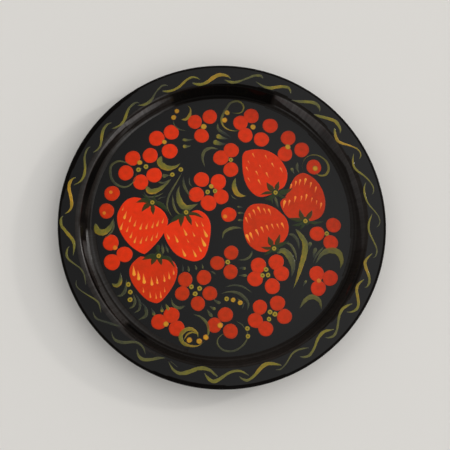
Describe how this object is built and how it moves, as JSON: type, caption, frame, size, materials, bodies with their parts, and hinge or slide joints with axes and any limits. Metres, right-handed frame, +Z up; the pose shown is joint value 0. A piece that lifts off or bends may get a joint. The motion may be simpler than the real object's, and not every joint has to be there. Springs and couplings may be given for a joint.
{
  "type": "painted tray",
  "caption": "Round black lacquered steel tray with a steep wall, level flange, rim rolled round a wire, and strawberries and rowan berries painted on it",
  "frame": {"origin": "on the table, under the middle of the tray's floor", "axes": "+Z up out of the tray along its axis; +Y towards the side that is the top of the painted picture, +X to its right"},
  "size_m": [0.3, 0.3, 0.0172],
  "materials": {
    "black_lacquer": "glossy black oil lacquer over pressed sheet steel",
    "wire_steel": "drawn mild steel wire, uncoated",
    "berry_red": "opaque red oil paint under clear varnish",
    "leaf_olive": "thin olive oil paint brushed over black",
    "sepal_green": "dark green oil paint under clear varnish",
    "seed_gold": "yellow gold paint under clear varnish"
  },
  "bodies": {
    "root": {"tray_pan": "black_lacquer", "edge_wire": "wire_steel"}
  },
  "joints": []
}
